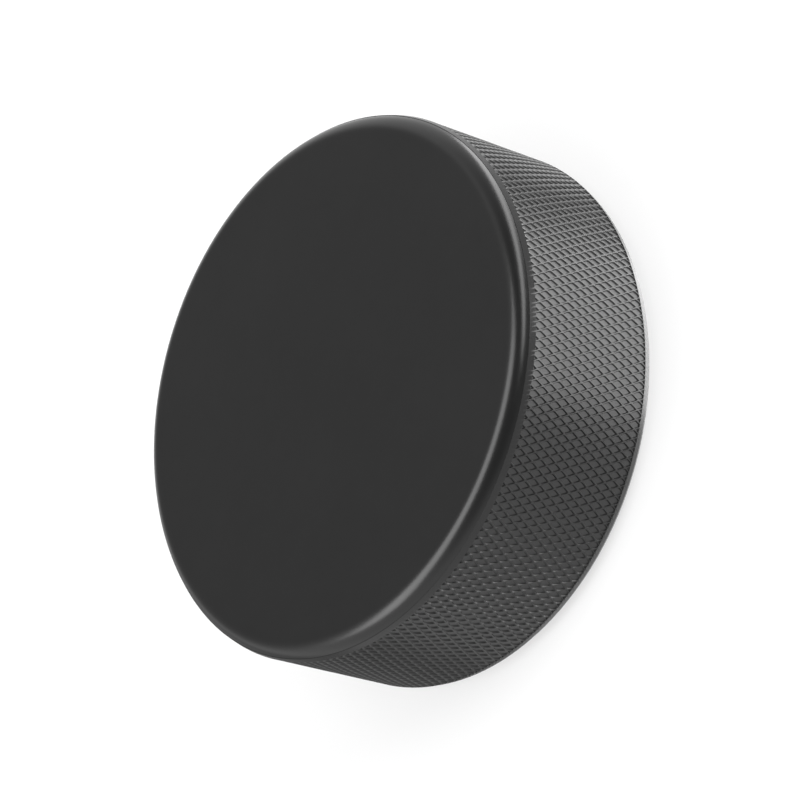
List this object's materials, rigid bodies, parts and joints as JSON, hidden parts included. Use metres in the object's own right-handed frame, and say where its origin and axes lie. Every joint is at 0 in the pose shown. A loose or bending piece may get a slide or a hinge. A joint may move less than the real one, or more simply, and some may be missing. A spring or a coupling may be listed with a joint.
{
  "type": "hockey puck",
  "caption": "Solid rubber disc with two flat faces, rounded rims and a diamond-knurled grip band round its edge.",
  "frame": {"origin": "centre of the flat lower face", "axes": "+Z along the axis of the disc, from the lower face to the upper face; X and Y lie in the lower face, and their direction is free because the disc is round"},
  "size_m": [0.0762, 0.0762, 0.0254],
  "materials": {
    "black_rubber": "vulcanised black rubber, satin on the faces and lips, moulded diamond knurl on the edge"
  },
  "bodies": {
    "root": {"puck_body": "black_rubber"}
  },
  "joints": []
}
